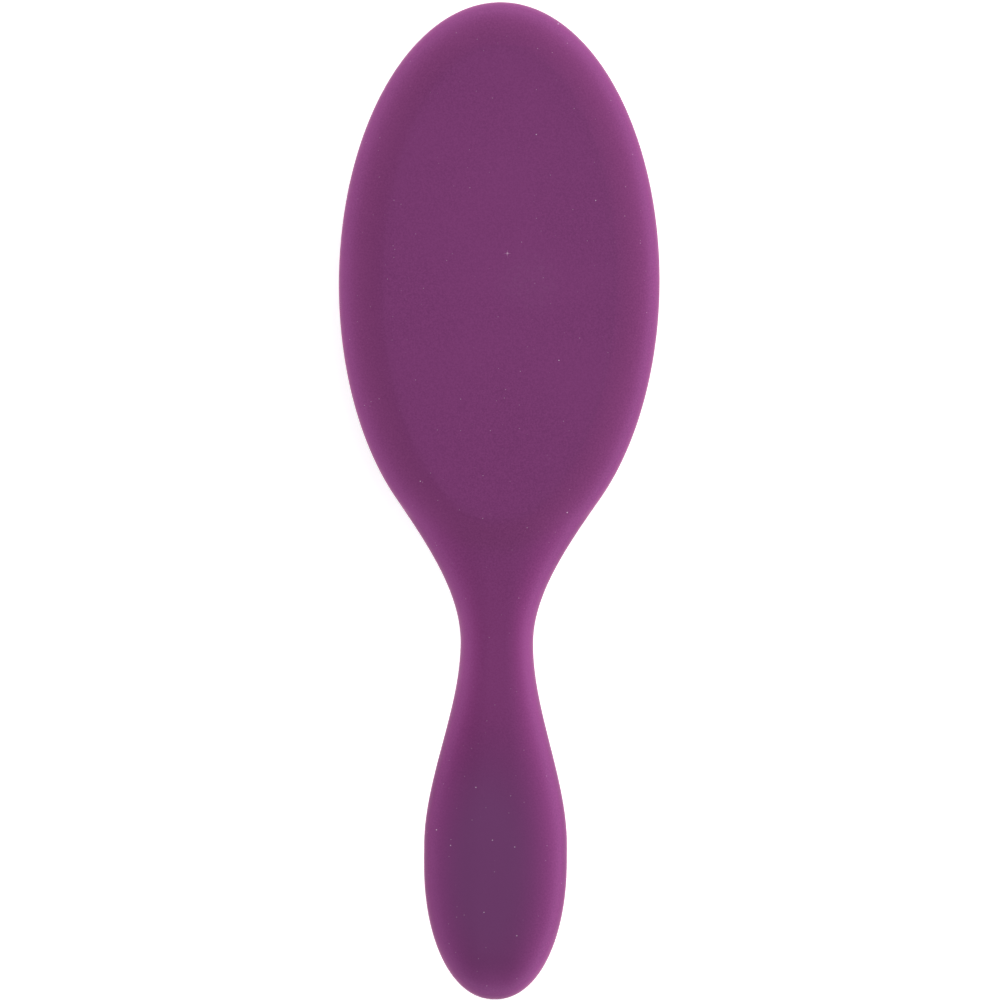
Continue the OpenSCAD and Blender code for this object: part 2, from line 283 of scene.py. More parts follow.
def front_height(x, along, inset):
    """Depth of the front under the joint."""
    fade = ease((along - RIM_END) / (NECK_AT - RIM_END))
    handle = swell(along, NECK_DROP, HANDLE_DROP)
    mid = np.where(along < NECK_AT, between(RIM_DROP, NECK_DROP, fade), handle)
    half, flat = outline_half(along, inset), front_flat(along)
    share = (np.abs(x) - flat) / np.maximum(half - flat, LEAST_WIDTH)
    share = np.clip(np.where(along < HEAD_MID, oval_share(x, along, inset, RIM_ROLL), share), 0, 1)
    power = between(2, HANDLE_POWER, fade)
    return (mid - inset) * (1 - share ** power) ** (1 / power) * end_round(along, inset)


def stations(inset):
    """Places of a skin's sections, closer together towards its round ends."""
    def turn(steps, last):
        """Angles of a quarter turn's steps, up to the last one wanted."""
        return np.arange(last + 1) * (math.pi / 2 / steps)

    def run(low, high, steps):
        """Evenly spaced places past low, up to high."""
        return np.linspace(low, high, steps + 1)[1:]

    return np.concatenate([
        between(inset, RIM_ROLL, 1 - np.cos(turn(START_STEPS, START_STEPS - 1))),
        between(RIM_ROLL, BORDER_W, 1 - np.cos(turn(BORDER_STEPS, BORDER_STEPS - 1))),
        HEAD_MID - (HEAD_MID - BORDER_W) * np.cos(np.linspace(0, math.pi, FIELD_STEPS + 1)),
        run(FIELD_END, RIM_END, RIM_STEPS),
        run(RIM_END, NECK_AT, NECK_STEPS),
        run(NECK_AT, END_AT, FLARE_STEPS),
        END_AT + (END_LEN - inset) * np.sin(turn(END_STEPS, END_STEPS)[1:]),
    ])


def trace(height, flat, along, half, inset, lip):
    """Right half of one section, from its middle to the joint, as widths and heights.
    Past the flat part its points are evenly spaced, and lip rounds the edge at the joint, so that
    two shells meet in a groove."""
    turn = np.linspace(0, math.pi / 2, TRACE_STEPS + 1)
    x = flat + (half - flat) * np.sin(turn)
    h = height(x, np.full_like(x, along), inset)
    lip = min(lip, JOINT_LIP_MOST_SHARE * h[0], JOINT_LIP_MOST_SHARE * half)
    length = np.concatenate([[0], np.cumsum(np.hypot(np.diff(x), np.diff(h)))])
    end = np.interp(-lip, -h, length)
    steps = np.linspace(0, end, CURVE_STEPS + 1)
    round_x, round_h = np.interp(steps, length, x), np.interp(steps, length, h)
    lip_turn = np.linspace(0, math.pi / 2, LIP_STEPS + 1)[1:]
    flat_x = flat * np.arange(FLAT_STEPS) / FLAT_STEPS
    flat_h = height(flat_x, np.full_like(flat_x, along), inset)
    widths = [flat_x, round_x, round_x[-1] - lip * (1 - np.cos(lip_turn))]
    return np.concatenate(widths), np.concatenate([flat_h, round_h, lip * (1 - np.sin(lip_turn))])


def skin(height, flat_half, inset, side, lip):
    """Points of a skin as stations by columns, from its left edge to its right edge."""
    along = stations(inset)
    half = np.maximum(outline_half(along, inset), 0)
    flat = np.minimum(flat_half(along), half)
    sections = [trace(height, *places, inset, lip) for places in zip(flat, along, half)]
    x = np.array([section[0] for section in sections])
    h = np.array([section[1] for section in sections])
    x = np.concatenate([-x[:, :0:-1], x], 1)
    h = np.concatenate([h[:, :0:-1], h], 1)
    y = np.broadcast_to(BRUSH_LEN / 2 - along[:, None], x.shape)
    return np.stack([x, y, JOINT_Z + side * h], 2)


def new_object(name, points, faces):
    """A mesh object from points in millimetres, with coinciding points joined and faces turned
    outwards."""
    mesh = bpy.data.meshes.new(name)
    mesh.from_pydata([tuple(p) for p in np.asarray(points) * MM], [], faces)
    bm = bmesh.new()
    bm.from_mesh(mesh)
    bmesh.ops.remove_doubles(bm, verts=bm.verts, dist=JOIN_GAP)
    bmesh.ops.dissolve_degenerate(bm, edges=bm.edges, dist=LEAST_EDGE)
    bmesh.ops.recalc_face_normals(bm, faces=bm.faces)
    bm.to_mesh(mesh)
    bm.free()
    obj = bpy.data.objects.new(name, mesh)
    bpy.context.scene.collection.objects.link(obj)
    return obj


def grid_faces(rows, columns, first=0, closed=False):
    """Quads between neighbouring points of a grid, whose first point has number first.
    A closed grid joins its last column to its first."""
    faces = []
    for j in range(rows - 1):
        for k in range(columns if closed else columns - 1):
            a = first + j * columns + k
            b = first + j * columns + (k + 1) % columns
            faces.append((a, b, b + columns, a + columns))
    return faces


def half_shell(name, height, flat_half, side):
    """A closed half shell between an outer and an inner skin."""
    outer = skin(height, flat_half, 0, side, JOINT_LIP)
    inner = skin(height, flat_half, WALL, side, 0)
    rows, columns = outer.shape[:2]
    count = rows * columns
    faces = grid_faces(rows, columns) + grid_faces(rows, columns, count)
    for j in range(rows - 1):
        for k in (0, columns - 1):
            a, b = j * columns + k, (j + 1) * columns + k
            faces.append((a, b, count + b, count + a))
    return new_object(name, np.concatenate([outer.reshape(-1, 3), inner.reshape(-1, 3)]), faces)


def solids(name, profiles, places, sides):
    """Solids of revolution about upright lines, one at each place (x, y), as one object.
    A profile is a closed loop of (radius, z), and a radius of 0 lies on the line."""
    points, faces = [], []
    turns = np.arange(sides) * (2 * math.pi / sides)
    for (x, y), profile in zip(places, profiles):
        first, count = len(points), len(profile)
        for angle in turns:
            points += [(x + r * math.cos(angle), y + r * math.sin(angle), z) for r, z in profile]
        for i in range(sides):
            a, b = first + i * count, first + (i + 1) % sides * count
            for k in range(count):
                n = (k + 1) % count
                faces.append((a + k, a + n, b + n, b + k))
    return new_object(name, points, faces)


def bar(radius, low, high):
    """Profile of a round bar."""
    return [(0, low), (radius, low), (radius, high), (0, high)]


def combine(obj, other, operation):
    """Applies a boolean to obj and removes the other object."""
    modifier = obj.modifiers.new("combine", "BOOLEAN")
    modifier.operation = operation
    modifier.solver = "MANIFOLD"
    modifier.object = other
    apply_modifiers(obj)
    bpy.data.objects.remove(other)


def apply_modifiers(obj):
    """Turns an object's mesh into what its modifiers make of it."""
    graph = bpy.context.evaluated_depsgraph_get()
    mesh = bpy.data.meshes.new_from_object(obj.evaluated_get(graph))
    obj.modifiers.clear()
    old = obj.data
    obj.data = mesh
    bpy.data.meshes.remove(old)


def shade(obj, sharp_deg):
    """Smooth shading, with sharp edges past an angle and wide flat faces kept flat."""
    bm = bmesh.new()
    bm.from_mesh(obj.data)
    bmesh.ops.dissolve_degenerate(bm, edges=bm.edges, dist=LEAST_EDGE)
    limit = math.radians(sharp_deg)
    for face in bm.faces:
        face.smooth = True
    for edge in bm.edges:
        edge.smooth = edge.is_manifold and edge.calc_face_angle(0) < limit
    bm.to_mesh(obj.data)
    bm.free()
    modifier = obj.modifiers.new("weighted_normals", "WEIGHTED_NORMAL")
    modifier.keep_sharp = True
    modifier.weight = 100


def oval_points(inset, z, count):
    """Points of the head's oval, drawn in by inset, at one level."""
    turns = np.arange(count) * (2 * math.pi / count)
    x = (HEAD_W / 2 - inset) * np.cos(turns)
    y = HEAD_Y + (HEAD_MID - inset) * np.sin(turns)
    return np.stack([x, y, np.full(count, z)], 1)


def oval_loft(name, rings, count):
    """A closed solid through ovals of (inset, z), capped at its first and last."""
    points = np.concatenate([oval_points(inset, z, count) for inset, z in rings])
    last = (len(rings) - 1) * count
    faces = grid_faces(len(rings), count, closed=True)
    faces += [tuple(range(count)), tuple(range(last, last + count))]
    return new_object(name, points, faces)


def ring_places(step):
    """Places round the retainer ring: of the pegs, or with a step of 1 / 2 of the posts between."""
    turns = [(i + step) * 2 * math.pi / PEG_COUNT for i in range(PEG_COUNT)]
    half_x, half_y = HEAD_W / 2 - RING_INSET, HEAD_MID - RING_INSET
    return [(half_x * math.cos(t), HEAD_Y + half_y * math.sin(t)) for t in turns]


def post_alongs():
    """Places along the handle of the locating posts."""
    return [HEAD_LEN + share * (BRUSH_LEN - HEAD_LEN) for share in POST_SHARES]


def at(height, x, along, inset):
    """Height of a skin over or under the joint at one place."""
    return float(height(np.array([x]), np.array([along]), inset)[0])


def make_back():
    """The back of the head and handle, with its posts and a gate mark."""
    back = half_shell("back_casing", back_height, back_flat, 1)
    places, profiles = [], []
    for along in post_alongs():
        low = JOINT_Z - at(front_height, 0, along, WALL) + POST_END_GAP
        high = JOINT_Z + at(back_height, 0, along, 0) - WALL / 2
        places.append((0, BRUSH_LEN / 2 - along))
        profiles.append(bar(POST_D / 2, low, high))
    for x, y in ring_places(1 / 2):
        along = BRUSH_LEN / 2 - y
        high = JOINT_Z + (at(back_height, x, along, 0) + at(back_height, x, along, WALL)) / 2
        places.append((x, y))
        profiles.append(bar(CLAMP_POST_D / 2, RING_TOP, high))
    combine(back, solids("posts", profiles, places, POST_SIDES), "UNION")
    combine(back, gate_mark(), "DIFFERENCE")
    return back


def gate_mark():
    """A shallow round pit with a nub in its middle, where the moulding's gate was cut off."""
    top = JOINT_Z + FIELD_RISE
    nub_middle, nub_edge = [top - GATE_DEPTH * share for share in GATE_NUB_SHARES]
    pit = [(GATE_NUB_D / 2, nub_edge)]
    for i in range(GATE_STEPS + 1):
        share = i / GATE_STEPS
        radius = between(GATE_NUB_D / 2 * GATE_WALL_SHARE, GATE_PIT_D / 2, share)
        pit.append((radius, top - GATE_DEPTH * math.cos(share * math.pi / 2)))
    pit += [(GATE_PIT_D / 2, top + OVER), (0, top + OVER), (0, nub_middle)]
    return solids("gate_cut", [pit], [GATE_MARK], HOLE_SIDES)


def make_front():
    """The rim around the cushion and the front of the handle, with pegs and sockets."""
    front = half_shell("front_casing", front_height, front_flat, -1)
    opening = [(RIM_W - OPENING_LIP, RIM_Z - OVER)]
    steps = ROLL_STEPS // 2
    for i in range(steps + 1):
        turn = i / steps * math.pi / 2
        inset = RIM_W - OPENING_LIP * (1 - math.sin(turn))
        opening.append((inset, RIM_Z + OPENING_LIP * (1 - math.cos(turn))))
    opening.append((RIM_W, LEDGE_Z + OVER))
    combine(front, oval_loft("opening", opening, OVAL_SIDES), "DIFFERENCE")
    places = ring_places(0)
    profiles = [bar(PEG_D / 2, LEDGE_Z - WALL / 2, RING_TOP)] * PEG_COUNT
    bore = POST_D / 2 + POST_GAP
    for along in post_alongs():
        low = JOINT_Z - at(front_height, 0, along, 0) + WALL / 2
        floor = JOINT_Z - at(front_height, 0, along, WALL) + POST_END_GAP - POST_GAP
        high = JOINT_Z - POST_GAP
        outside = bore + SOCKET_WALL
        places.append((0, BRUSH_LEN / 2 - along))
        profiles.append([
            (0, low), (outside, low), (outside, high), (bore, high), (bore, floor), (0, floor),
        ])
    combine(front, solids("pegs", profiles, places, POST_SIDES), "UNION")
    return front


def pin_places():
    """Where the pins stand: the lowest points of their ball tips."""
    places = set()
    for name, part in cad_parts.items():
        if name.startswith("pin_row"):
            for vertex in part.data.vertices:
                if vertex.co.z < GROUND:
                    places.add((round(vertex.co.x / MM, 3), round(vertex.co.y / MM, 3)))
    return sorted(places)


def pin_hole():
    """Profile of a hole that is narrowest in the middle of the web, so that its pin can tilt,
    with a seat inside the cushion for the pin's head."""
    waist = PIN_D / 2 + PIN_GAP
    tilt = math.radians(PIN_TILT_DEG)
    spread = math.tan(tilt)
    middle = WEB_Z + WEB_T / 2
    mouth = waist + spread * WEB_T / 2
    head_up, head_out = WEB_T / 2 + PIN_SEAT_GAP, PIN_HEAD_D / 2
    seat = head_out * math.cos(tilt) + head_up * math.sin(tilt) + SEAT_ROOM
    seat_z = middle + head_up * math.cos(tilt) - head_out * math.sin(tilt) - SEAT_ROOM
    low, high = WEB_Z - OVER, WEB_TOP + OVER
    lip = [(mouth + out * HOLE_LIP, WEB_Z + up * HOLE_LIP) for out, up in HOLE_LIP_SHARES]
    lip_end = HOLE_LIP_END_SHARE * HOLE_LIP
    return [
        (0, low), (lip[0][0], low), *lip, (mouth - spread * lip_end, WEB_Z + lip_end),
        (waist, middle), (waist + spread * (seat_z - middle), seat_z),
        (seat, seat_z), (seat, high), (0, high),
    ]


def make_cushion():
    """The rubber cushion: a flat web on a rolled wall, with a flange, pin holes and a vent."""
    turns = [i / ROLL_STEPS * math.pi / 2 for i in range(ROLL_STEPS + 1)]
    roll_top = WEB_Z + SHOULDER_RISE

    def roll(turn, run, rise):
        """A point of the rolled wall, as an inset and a height."""
        return (WEB_INSET - run * math.sin(turn), roll_top - rise * math.cos(turn))

    rings = [roll(turn, SHOULDER_RUN, SHOULDER_RISE) for turn in turns]
    rings += [
        (CUSHION_INSET, LEDGE_Z), (FLANGE_INSET, LEDGE_Z),
        (FLANGE_INSET, FLANGE_TOP), (CUSHION_INSET + CUSHION_WALL, FLANGE_TOP),
    ]
    rings += [
        roll(turn, SHOULDER_RUN - CUSHION_WALL, SHOULDER_RISE - WEB_T) for turn in reversed(turns)
    ]
    cushion = oval_loft("rubber_cushion", rings, OVAL_SIDES)
    places = pin_places()
    pin_holes = solids("pin_holes", [pin_hole()] * len(places), places, PIN_HOLE_SIDES)
    combine(cushion, pin_holes, "DIFFERENCE")
    holes = [bar(PEG_D / 2 + FLANGE_HOLE_GAP, LEDGE_Z - OVER, FLANGE_TOP + OVER)] * PEG_COUNT
    vent = bar(VENT_D / 2, WEB_Z - OVER, WEB_TOP + OVER)
    hole_places = ring_places(0) + [VENT_PLACE]
    combine(cushion, solids("holes", holes + [vent], hole_places, HOLE_SIDES), "DIFFERENCE")
    return cushion


def node(tree, kind, inputs=None, **settings):
    """A shader node with its settings and inputs. An input is a socket to link or a plain value."""
    made = tree.nodes.new(kind)
    for name, value in settings.items():
        setattr(made, name, value)
    for key, value in (inputs or {}).items():
        if isinstance(value, bpy.types.NodeSocket):
            tree.links.new(value, made.inputs[key])
        else:
            made.inputs[key].default_value = value
    return made


def calc(tree, operation, a, b=0.0):
    """The result of an operation on two inputs."""
    return node(tree, "ShaderNodeMath", {0: a, 1: b}, operation=operation).outputs[0]


def span(tree, value, low, high, to_low=0.0, to_high=1.0, kind="SMOOTHSTEP"):
    """Maps low..high onto to_low..to_high, held at the ends."""
    inputs = {"Value": value, "From Min": low, "From Max": high}
    inputs |= {"To Min": to_low, "To Max": to_high}
    return node(tree, "ShaderNodeMapRange", inputs, interpolation_type=kind).outputs[0]


def mix(tree, share, a, b, blend="MIX"):
    """Colour a taken towards colour b by a share, or blended with it."""
    inputs = {0: share, 6: a, 7: b}
    return node(tree, "ShaderNodeMix", inputs, data_type="RGBA", blend_type=blend).outputs[2]


def noise(tree, where, scale, detail=2.0, roughness=0.5):
    """A grey pattern of about scale spots to a metre."""
    inputs = {"Vector": where, "Scale": scale, "Detail": detail, "Roughness": roughness}
    return node(tree, "ShaderNodeTexNoise", inputs).outputs[0]


def colour(red, green, blue):
    """An opaque colour, as a shader's socket takes it."""
    return (red, green, blue, 1.0)


def new_look(name):
    """A node material: its tree, its surface shader, and the place on the object in metres."""
    material = bpy.data.materials.new(name)
    material.use_nodes = True
    tree = material.node_tree
    surface = tree.nodes["Principled BSDF"]
    where = tree.nodes.new("ShaderNodeTexCoord").outputs["Object"]
    return material, tree, surface, where


def bump(tree, surface, height, distance):
    """Raises a pattern on a surface."""
    made = node(tree, "ShaderNodeBump", {"Height": height, "Distance": distance * MM})
    tree.links.new(made.outputs[0], surface.inputs["Normal"])


# Dust. A speck lies in the middle of some of the cells, of which there are DUST_CELLS to a metre,
# and some specks have their own size and places.
DUST_CELLS = 600
DUST_CELL_FADE = (0.085, 0.04)
DUST_CHOICE = (0.3, 1.0)
DUST_CELL_SHARE = 0.42
DUST_SHARE = 0.6
DUST_SIZE = 0.12
DUST_FADE = (1.3, 0.5)
DUST_SPOTS = (
    (-4.5, -64.3), (-13.3, -74.0), (-10.1, -77.4), (-0.7, -76.1), (4.3, -77.6), (-2.5, -92.3),
    (4.9, -97.5), (12.9, 107.4), (21.5, 67.5), (8.1, 82.2), (13.5, 31.6), (15.6, -2.5),
    (-17.4, 4.3),
)

# Soft patches of the coat on the back: the middle, the half widths, and the shares of them between
# which the patch fades in. SHARE is how much of a patch's colour shows. The grip and left-side
# patches are painted shade, the grip's also a painted reflection, and the neck's is painted light;
# the smudge and the gate's nub are marks on the coat.
# Painted shade and a painted greyish reflection: the handle's middle made darker and greyer
GRIP_SHADE_PATCH = ((-1.6, -83.0), (14.5, 33.0), (1.15, 0.35))
GRIP_SHADE_SHARE = 0.9
# Painted shade: the handle's left side made darker, outside the grip
LEFT_SHADE_PATCH = ((-6.0, -80.0), (20.0, 42.0), (1.0, 0.4))
# Painted light: the neck made a little lighter
NECK_LIGHT_PATCH = ((0.0, -32.0), (HEAD_W, 28.0), (1.0, 0.0))
NECK_LIGHT_SHARE = 0.03
SMUDGE = ((6.7, 49.2), (8.5, 8.5), (1.1, 0.3))
NUB = (GATE_MARK, (GATE_NUB_D, GATE_NUB_D), (1.0, 0.3))
GATE_SHARE = 0.45
GATE_RAY_FADE = (1.1, 0.2)
GATE_RAY_SHARE = 0.5

# Where the bands of painted shade begin and end: round the field as shares of the border, which
# starts at 0, and on both sides of the joint as heights from it
FIELD_SHADE_IN = (-0.2, 0.35)
FIELD_SHADE_OUT = (0.5, 0.95)
JOINT_SHADE_FADE = (4.6, 1.6)

# Scales of the patterns, in spots to a metre
GRAIN_SCALE = 2600
CLOUD_SCALE = 45
SMEAR_SCALE = 700
RUBBER_GRAIN_SCALE = 1900
BLOOM_SCALE = 120
DIP_SCALE = 900
NYLON_SCALE = 260
FLOW_SCALE = 160
MOULD_SCALE = 2200

# Depths of the patterns' relief, in millimetres
COAT_RELIEF = 0.012
RUBBER_RELIEF = 0.02
PLASTIC_RELIEF = 0.01

# Colours of the coat
PLUM_DEEP = (0.1275, 0.0262, 0.103)
PLUM = (0.1385, 0.0291, 0.1125)
PLUM_GRAIN = (0.1605, 0.0362, 0.131)
# Painted shade with a painted greyish reflection, on the grip
PLUM_GRIP_SHADE_AND_SHINE = (0.122, 0.0375, 0.1155)
# Painted light on the neck
PLUM_NECK_LIGHT = (0.3, 0.03, 0.17)
# Painted shade round the field
FIELD_SHADE_TINT = (0.94, 0.99, 0.92)
# Painted shade on the handle's left side
LEFT_SHADE_TINT = (0.86, 0.74, 0.83)
# Painted shade along the joint
JOINT_SHADE_TINT = (0.7, 0.7, 0.7)
SMEAR_GREY = (0.26, 0.2, 0.28)
GATE_PALE = (0.55, 0.36, 0.52)
DUST_PALE = (0.62, 0.5, 0.6)
COAT_SHINE_TINT = (0.5, 0.5, 1)
COAT_SHEEN_TINT = (0.8, 0.105, 0.42)

# Colours of the rubber, the pins and the retainer ring
RUBBER_DARK = (0.045, 0.014, 0.04)
RUBBER_BLOOM = (0.07, 0.027, 0.062)
NYLON = (0.19, 0.04, 0.16)
NYLON_PALE = (0.24, 0.06, 0.2)
DIP_DARK = (0.045, 0.012, 0.04)
RING_CREAM = (0.62, 0.6, 0.54)
RING_PALE = (0.7, 0.68, 0.62)


def dust_share(tree, where):
    """Sparse specks of dust: scattered ones all over, and some at their own places on the back."""
    cells = node(tree, "ShaderNodeTexVoronoi", {"Vector": where, "Scale": DUST_CELLS})
    chosen = node(tree, "ShaderNodeSeparateColor", {0: cells.outputs["Color"]})
    dust = calc(tree, "MULTIPLY", span(tree, cells.outputs["Distance"], *DUST_CELL_FADE),
                span(tree, chosen.outputs[0], *DUST_CHOICE, 0.0, DUST_CELL_SHARE))
    for spot in DUST_SPOTS:
        speck = patch(tree, where, spot, (DUST_SIZE, DUST_SIZE), DUST_FADE)
        dust = calc(tree, "MAXIMUM", dust, speck)
    return dust


def distance_from(tree, where, middle, half):
    """Distance from a place on the back, seen from above, as a share of half widths."""
    place = node(tree, "ShaderNodeSeparateXYZ", {0: where})
    parts = []
    for way in range(2):
        away = calc(tree, "SUBTRACT", place.outputs[way], middle[way] * MM)
        share = calc(tree, "DIVIDE", away, half[way] * MM)
        parts.append(calc(tree, "MULTIPLY", share, share))
    return calc(tree, "SQRT", calc(tree, "ADD", *parts))


def patch(tree, where, middle, half, fade):
    """Share of a soft oval patch on the back."""
    return span(tree, distance_from(tree, where, middle, half), *fade)


def field_shade_band(tree, where):
    """A soft band of painted shade round the flat field, in the border that falls away from it."""
    middle = (0, HEAD_Y)
    inner = distance_from(tree, where, middle, (HEAD_W / 2 - BORDER_W, HEAD_MID - BORDER_W))
    outer = distance_from(tree, where, middle, (HEAD_W / 2, HEAD_MID))
    past = calc(tree, "MULTIPLY", calc(tree, "SUBTRACT", inner, 1.0), outer)
    share = calc(tree, "DIVIDE", past, calc(tree, "SUBTRACT", inner, outer))
    inside = span(tree, share, *FIELD_SHADE_IN)
    return calc(tree, "MULTIPLY", inside, span(tree, share, *FIELD_SHADE_OUT, 1, 0))


def joint_shade_band(tree, where):
    """A soft band of painted shade on both sides of the joint between the shells."""
    height = node(tree, "ShaderNodeSeparateXYZ", {0: where}).outputs[2]
    away = calc(tree, "ABSOLUTE", calc(tree, "SUBTRACT", height, JOINT_Z * MM))
    return span(tree, away, JOINT_SHADE_FADE[0] * MM, JOINT_SHADE_FADE[1] * MM)


def casing_look():
    """Soft-touch plum: a fine matt coat with a faint mottle, sheen at grazing angles and some dust.
    The grip has painted shade and a painted greyish reflection, its left side has painted shade,
    the neck has painted light, and painted shade lies round the field and along the joint. A faint
    smudge lies beside the gate mark."""
    material, tree, surface, where = new_look("casing_plum")
    grain = noise(tree, where, GRAIN_SCALE, 2.0, 0.6)
    cloud = noise(tree, where, CLOUD_SCALE, 3.0)
    base = mix(tree, span(tree, cloud, 0.3, 0.7), colour(*PLUM_DEEP), colour(*PLUM))
    base = mix(tree, span(tree, grain, 0.3, 0.7, kind="LINEAR"), base, colour(*PLUM_GRAIN))
    # Painted shade and a painted greyish reflection on the grip
    grip_shade = patch(tree, where, *GRIP_SHADE_PATCH)
    # Painted light on the neck
    neck_light = patch(tree, where, *NECK_LIGHT_PATCH)
    base = mix(tree, calc(tree, "MULTIPLY", grip_shade, GRIP_SHADE_SHARE), base, colour(*PLUM_GRIP_SHADE_AND_SHINE))
    base = mix(tree, calc(tree, "MULTIPLY", neck_light, NECK_LIGHT_SHARE), base, colour(*PLUM_NECK_LIGHT))
    # Painted shade round the field
    base = mix(tree, field_shade_band(tree, where), base, colour(*FIELD_SHADE_TINT), "MULTIPLY")
    # Painted shade along the joint
    base = mix(tree, joint_shade_band(tree, where), base, colour(*JOINT_SHADE_TINT), "MULTIPLY")
    # Painted shade on the handle's left side, outside the grip
    left_shade = patch(tree, where, *LEFT_SHADE_PATCH)
    left_shade = calc(tree, "SUBTRACT", left_shade, calc(tree, "MULTIPLY", left_shade, grip_shade))
    base = mix(tree, left_shade, base, colour(*LEFT_SHADE_TINT), "MULTIPLY")
    streaks = span(tree, noise(tree, where, SMEAR_SCALE, 5.0, 0.7), 0.45, 0.75, 0.01, 0.05)
    smear = calc(tree, "MULTIPLY", patch(tree, where, *SMUDGE), streaks)
    base = mix(tree, smear, base, colour(*SMEAR_GREY))
    gate = patch(tree, where, *NUB)
    for half in (GATE_RAY, GATE_RAY[::-1]):
        away = distance_from(tree, where, GATE_MARK, half)
        gate = calc(tree, "MAXIMUM", gate, span(tree, away, *GATE_RAY_FADE, 0, GATE_RAY_SHARE))
    base = mix(tree, calc(tree, "MULTIPLY", gate, GATE_SHARE), base, colour(*GATE_PALE))
    dust = calc(tree, "MULTIPLY", dust_share(tree, where), DUST_SHARE)
    base = mix(tree, dust, base, colour(*DUST_PALE))
    tree.links.new(base, surface.inputs["Base Color"])
    tree.links.new(span(tree, grain, 0.2, 0.8, 0.36, 0.46), surface.inputs["Roughness"])
    surface.inputs["Specular IOR Level"].default_value = 0.045
    surface.inputs["Specular Tint"].default_value = colour(*COAT_SHINE_TINT)
    surface.inputs["Sheen Weight"].default_value = 0.4
    surface.inputs["Sheen Roughness"].default_value = 0.3
    surface.inputs["Sheen Tint"].default_value = colour(*COAT_SHEEN_TINT)
    bump(tree, surface, grain, COAT_RELIEF)
    return material


def cushion_look():
    """Dark plum rubber with a fine moulded grain and faint bloom."""
    material, tree, surface, where = new_look("cushion_rubber")
    grain = noise(tree, where, RUBBER_GRAIN_SCALE, 3.0, 0.6)
    bloom = noise(tree, where, BLOOM_SCALE, 3.0)
    base = mix(tree, span(tree, bloom, 0.35, 0.75), colour(*RUBBER_DARK), colour(*RUBBER_BLOOM))
    tree.links.new(base, surface.inputs["Base Color"])
    tree.links.new(span(tree, grain, 0.2, 0.8, 0.5, 0.68), surface.inputs["Roughness"])
    surface.inputs["Specular IOR Level"].default_value = 0.4
    bump(tree, surface, grain, RUBBER_RELIEF)
    return material


# The dip on the pins' tips: how far it runs past the ball, how softly it ends, and its wave
DIP_RUN = 0.2
DIP_FADE = 0.35
DIP_WAVE = 0.3


def pin_look():
    """Plum nylon, a little clear, with darker dipped ball tips."""
    material, tree, surface, where = new_look("pin_nylon")
    height = node(tree, "ShaderNodeSeparateXYZ", {0: where}).outputs[2]
    wave = noise(tree, where, DIP_SCALE, 2.0)
    edge = calc(tree, "ADD", height, calc(tree, "MULTIPLY", wave, DIP_WAVE * MM))
    dipped = span(tree, edge, (BALL_D + DIP_RUN + DIP_FADE) * MM, (BALL_D + DIP_RUN) * MM)
    tone = noise(tree, where, NYLON_SCALE, 2.0)
    nylon = mix(tree, span(tree, tone, 0.3, 0.7), colour(*NYLON), colour(*NYLON_PALE))
    base = mix(tree, dipped, nylon, colour(*DIP_DARK))
    tree.links.new(base, surface.inputs["Base Color"])
    tree.links.new(span(tree, dipped, 0, 1, 0.34, 0.22), surface.inputs["Roughness"])
    surface.inputs["Subsurface Weight"].default_value = 0.2
    surface.inputs["Subsurface Radius"].default_value = (0.5 * MM, 0.25 * MM, 0.45 * MM)
    surface.inputs["Subsurface Scale"].default_value = 1.0
    bump(tree, surface, wave, PLASTIC_RELIEF)
    return material


def retainer_look():
    """Uncoated off-white plastic with a faint flow pattern."""
    material, tree, surface, where = new_look("retainer_plastic")
    flow = noise(tree, where, FLOW_SCALE, 3.0)
    base = mix(tree, span(tree, flow, 0.3, 0.7), colour(*RING_CREAM), colour(*RING_PALE))
    tree.links.new(base, surface.inputs["Base Color"])
    tree.links.new(span(tree, flow, 0.2, 0.8, 0.4, 0.5), surface.inputs["Roughness"])
    bump(tree, surface, noise(tree, where, MOULD_SCALE), PLASTIC_RELIEF)
    return material


def give(obj, material):
    """Every material slot of obj takes the material."""
    if not obj.data.materials:
        obj.data.materials.append(material)
    for slot in obj.material_slots:
        slot.link = "OBJECT"
        slot.material = material


def build():
    """Makes the pieces, sets their finishes and puts the casing's two halves on their body."""
    plum = casing_look()
    back = make_back()
    front = make_front()
    cushion = make_cushion()
    for piece, finish, slot_name, replaced in (
        (back, plum, "casing", "back_shell"),
        (front, plum, "casing", "front_shell"),
        (cushion, cushion_look(), "cushion", "cushion"),
    ):
        shade(piece, SHARP_DEG)
        give(piece, finish)
        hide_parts(replaced)
    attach(back, "casing")
    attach(front, "casing")
    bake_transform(cushion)
    nylon, plastic = pin_look(), retainer_look()
    for name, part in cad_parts.items():
        if name.startswith("pin_row"):
            give(part, nylon)
        elif name == "cushion_retainer":
            give(part, plastic)


# Half the floor's width, in metres, and the strength of its glow
FLOOR_HALF = 30.0
FLOOR_GLOW = 0.52


def make_floor():
    """A wide pale floor that glows a little, as a lit table does."""
    half = FLOOR_HALF / MM
    corners = [(-half, -half, 0), (half, -half, 0), (half, half, 0), (-half, half, 0)]
    floor = new_object("floor", corners, [(0, 1, 2, 3)])
    material, tree, surface, where = new_look("pale_floor")
    tone = span(tree, noise(tree, where, 3.0), 0.3, 0.7)
    base = mix(tree, tone, colour(0.86, 0.86, 0.86), colour(0.9, 0.9, 0.9))
    tree.links.new(base, surface.inputs["Base Color"])
    surface.inputs["Roughness"].default_value = 0.9
    surface.inputs["Specular IOR Level"].default_value = 0.1
    surface.inputs["Emission Color"].default_value = colour(1, 1, 1)
    surface.inputs["Emission Strength"].default_value = FLOOR_GLOW
    give(floor, material)


